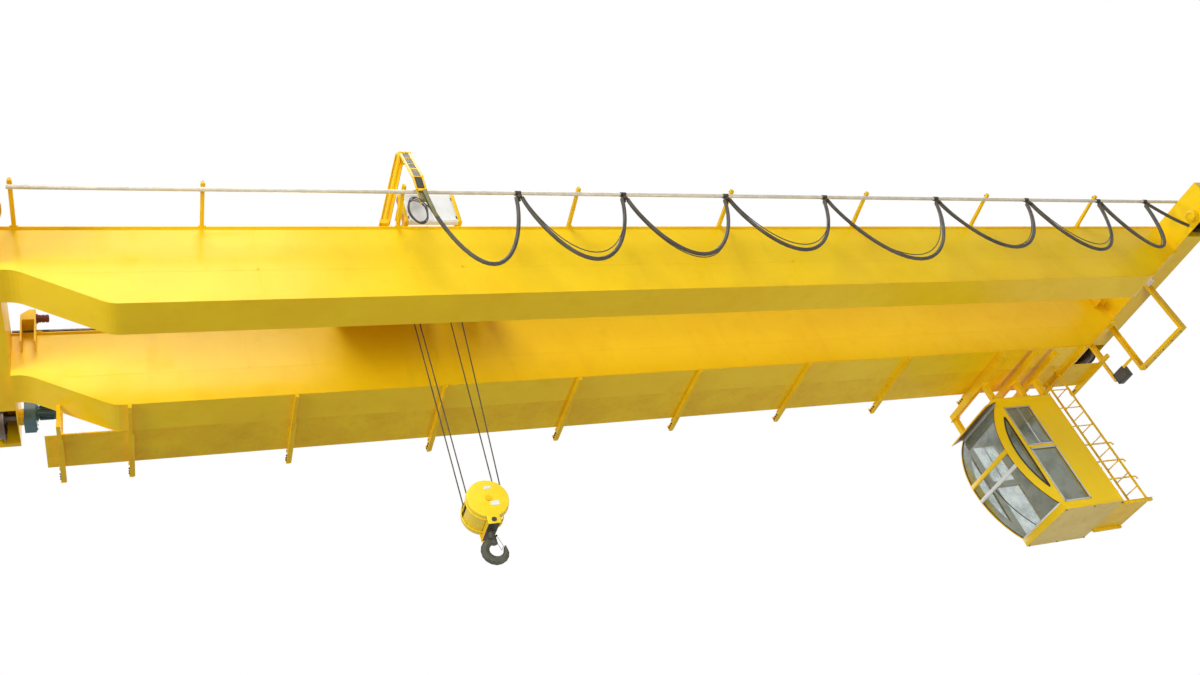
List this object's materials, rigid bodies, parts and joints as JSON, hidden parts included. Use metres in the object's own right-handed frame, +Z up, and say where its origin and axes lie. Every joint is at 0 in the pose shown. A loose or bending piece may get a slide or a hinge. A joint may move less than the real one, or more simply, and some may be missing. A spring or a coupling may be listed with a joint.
{
  "type": "double-girder overhead bridge crane",
  "caption": "Double-girder overhead travelling crane with box girders, end carriages, walkway, glazed operator's cabin, trolley hoist with hook block, and a cable festoon on a pipe.",
  "frame": {"origin": "middle of the left end carriage's underside", "axes": "+X along the girders to the right end, +Y across the girders to the walkway and cabin side, +Z up"},
  "size_m": [21.64, 5.312, 6.5934],
  "materials": {
    "crane_yellow": "glossy alkyd paint",
    "worn_steel": "worn",
    "drive_grey": "semi-gloss",
    "buffer_rubber": "matte",
    "window_glass": "clear",
    "window_aluminium": "satin",
    "floor_tan": "satin",
    "pipe_steel": "galvanised",
    "hanger_steel": "satin",
    "cable_sheath": "matte",
    "rope_steel": "greased",
    "hook_forging": "satin",
    "panel_white": "satin"
  },
  "bodies": {
    "root": {"front_girder_webs": "crane_yellow", "front_girder_plates": "crane_yellow", "rear_girder_webs": "crane_yellow", "rear_girder_plates": "crane_yellow", "trolley_rails": "worn_steel", "trolley_stops": "crane_yellow", "rubber_buffers": "buffer_rubber", "left_end_carriage": "crane_yellow", "right_end_carriage": "crane_yellow", "travel_drives": "drive_grey", "walkway_deck": "crane_yellow", "walkway_beams": "crane_yellow", "walkway_handrail": "crane_yellow", "collector_frame": "crane_yellow", "cabin_near_wall": "crane_yellow", "cabin_far_wall": "crane_yellow", "cabin_rear_wall": "crane_yellow", "cabin_front_panel": "crane_yellow", "cabin_roof": "crane_yellow", "cabin_floor": "floor_tan", "cabin_front_glass": "window_glass", "cabin_side_glass": "window_glass", "cabin_window_frames": "window_aluminium", "cabin_door": "crane_yellow", "cabin_posts": "crane_yellow", "cabin_ladder": "crane_yellow", "cabin_landing": "crane_yellow", "cable_pipe": "pipe_steel", "pipe_arms": "crane_yellow", "cable_loops": "cable_sheath", "end_clamp": "hanger_steel"},
    "wheel_front_left": {"wheel_front_left": "worn_steel"},
    "wheel_rear_left": {"wheel_rear_left": "worn_steel"},
    "wheel_front_right": {"wheel_front_right": "worn_steel"},
    "wheel_rear_right": {"wheel_rear_right": "worn_steel"},
    "trolley": {"trolley_frame": "crane_yellow", "trolley_wheels": "worn_steel", "hoist_drum": "worn_steel", "hoist_drive": "drive_grey", "upper_sheave": "worn_steel", "trolley_panel": "panel_white", "tow_arm": "crane_yellow", "hoist_ropes": "rope_steel"},
    "hook_block": {"hook_block": "crane_yellow", "block_sheaves": "worn_steel"},
    "hook": {"hook": "hook_forging"},
    "latch": {"hook_latch": "hook_forging"},
    "tow_clamp": {"tow_clamp": "hanger_steel"},
    "hanger_1": {"cable_hanger_1": "hanger_steel"},
    "hanger_2": {"cable_hanger_2": "hanger_steel"},
    "hanger_3": {"cable_hanger_3": "hanger_steel"},
    "hanger_4": {"cable_hanger_4": "hanger_steel"},
    "hanger_5": {"cable_hanger_5": "hanger_steel"},
    "hanger_6": {"cable_hanger_6": "hanger_steel"},
    "hanger_7": {"cable_hanger_7": "hanger_steel"}
  },
  "joints": [
    {"name": "trolley_travel", "type": "slide", "parent": "root", "child": "trolley", "axis": [1, 0, 0], "range_m": [-3.9, 12.9], "deforming": ["cable_loops"]},
    {"name": "hoist", "type": "slide", "parent": "trolley", "child": "hook_block", "axis": [0, 0, 1], "range_m": [-8, 2.7], "deforming": ["hoist_ropes"]},
    {"name": "hook_swivel", "type": "hinge", "parent": "hook_block", "child": "hook", "pos_m": [5.9, 0, -3.76], "axis": [0, 0, 1], "continuous": true},
    {"name": "latch_pivot", "type": "hinge", "parent": "hook", "child": "latch", "pos_m": [5.938, 0, -3.855], "axis": [0, 1, 0], "range_deg": [0, 40], "stiffness_Nm_per_rad": 0.6, "springref_deg": -11.46},
    {"name": "wheel_front_left_spin", "type": "hinge", "parent": "root", "child": "wheel_front_left", "pos_m": [0, -2, 0.18], "axis": [1, 0, 0], "continuous": true},
    {"name": "wheel_rear_left_spin", "type": "hinge", "parent": "root", "child": "wheel_rear_left", "pos_m": [0, 2, 0.18], "axis": [1, 0, 0], "continuous": true},
    {"name": "wheel_front_right_spin", "type": "hinge", "parent": "root", "child": "wheel_front_right", "pos_m": [21, -2, 0.18], "axis": [1, 0, 0], "continuous": true},
    {"name": "wheel_rear_right_spin", "type": "hinge", "parent": "root", "child": "wheel_rear_right", "pos_m": [21, 2, 0.18], "axis": [1, 0, 0], "continuous": true},
    {"name": "hanger_7_slide", "type": "slide", "parent": "root", "child": "hanger_7", "axis": [1, 0, 0], "range_m": [-0.3465, 1.0999]},
    {"name": "hanger_6_slide", "type": "slide", "parent": "hanger_7", "child": "hanger_6", "axis": [1, 0, 0], "range_m": [-0.5097, 1.6399]},
    {"name": "hanger_5_slide", "type": "slide", "parent": "hanger_6", "child": "hanger_5", "axis": [1, 0, 0], "range_m": [-0.5988, 1.9344]},
    {"name": "hanger_4_slide", "type": "slide", "parent": "hanger_5", "child": "hanger_4", "axis": [1, 0, 0], "range_m": [-0.673, 2.1798]},
    {"name": "hanger_3_slide", "type": "slide", "parent": "hanger_4", "child": "hanger_3", "axis": [1, 0, 0], "range_m": [-0.5394, 1.738]},
    {"name": "hanger_2_slide", "type": "slide", "parent": "hanger_3", "child": "hanger_2", "axis": [1, 0, 0], "range_m": [-0.5097, 1.6399]},
    {"name": "hanger_1_slide", "type": "slide", "parent": "hanger_2", "child": "hanger_1", "axis": [1, 0, 0], "range_m": [-0.48, 1.5417]},
    {"name": "tow_clamp_slide", "type": "slide", "parent": "hanger_1", "child": "tow_clamp", "axis": [1, 0, 0], "range_m": [-0.4029, 1.2864]}
  ],
  "couplings": [
    {"joint": "hanger_7_slide", "follows": "trolley_travel", "ratio": 0.083714},
    {"joint": "hanger_6_slide", "follows": "trolley_travel", "ratio": 0.12557},
    {"joint": "hanger_5_slide", "follows": "trolley_travel", "ratio": 0.1484},
    {"joint": "hanger_4_slide", "follows": "trolley_travel", "ratio": 0.16743},
    {"joint": "hanger_3_slide", "follows": "trolley_travel", "ratio": 0.13318},
    {"joint": "hanger_2_slide", "follows": "trolley_travel", "ratio": 0.12557},
    {"joint": "hanger_1_slide", "follows": "trolley_travel", "ratio": 0.11796},
    {"joint": "tow_clamp_slide", "follows": "trolley_travel", "ratio": 0.098173}
  ]
}
